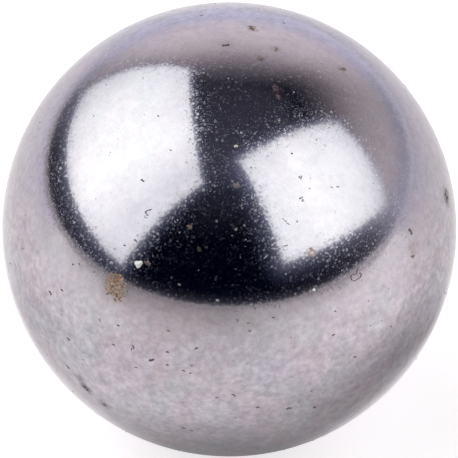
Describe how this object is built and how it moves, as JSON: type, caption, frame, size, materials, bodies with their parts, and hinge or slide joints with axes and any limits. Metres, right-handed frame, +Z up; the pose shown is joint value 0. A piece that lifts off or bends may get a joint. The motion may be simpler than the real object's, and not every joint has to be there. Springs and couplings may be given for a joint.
{
  "type": "steel ball",
  "caption": "Solid polished steel ball, lightly tarnished, with a crumb of rust, some dust and a few curls of lint on its skin.",
  "frame": {"origin": "centre of the ball", "axes": "+Z up, as the ball lies on a table; the steel is the same along every axis, and the marks on its skin face -Y and up"},
  "size_m": [0.019, 0.019, 0.019],
  "materials": {
    "steel": "polished, lightly tarnished",
    "rust": "matte, crumbly",
    "dust": "matte, powdery",
    "lint": "matte fibre"
  },
  "bodies": {
    "root": {"ball": "steel"}
  },
  "joints": []
}
